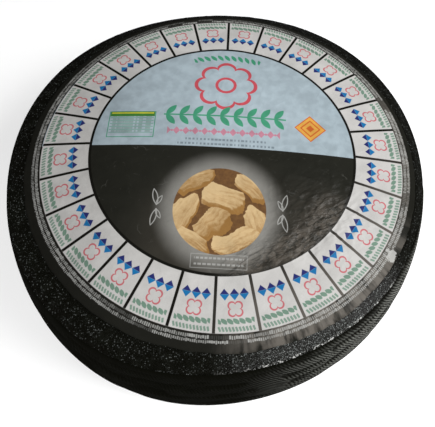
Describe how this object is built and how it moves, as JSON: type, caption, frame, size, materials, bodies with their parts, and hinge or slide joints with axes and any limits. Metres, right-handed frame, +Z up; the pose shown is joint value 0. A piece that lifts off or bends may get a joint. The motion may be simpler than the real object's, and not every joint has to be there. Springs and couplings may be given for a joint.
{
  "type": "asiago cheese wheel",
  "caption": "Whole round asiago cheese in a black coated rind with a pebbled shoulder, ribbed side and a round printed paper label on its domed top.",
  "frame": {"origin": "middle of the bounding box seen from above, on the surface that the base rests on", "axes": "+Z up through the label, -Y towards the front, where the label's dark half is, +X to the right seen from the front"},
  "size_m": [0.3806, 0.3836, 0.1126],
  "materials": {
    "rind": "black plastic coating on the rind, pebbled on the shoulder and finely ribbed on the side, semi-gloss",
    "label": "printed paper, slightly creased, satin"
  },
  "bodies": {
    "root": {"cheese_wheel": "rind", "paper_label": "label"}
  },
  "joints": []
}
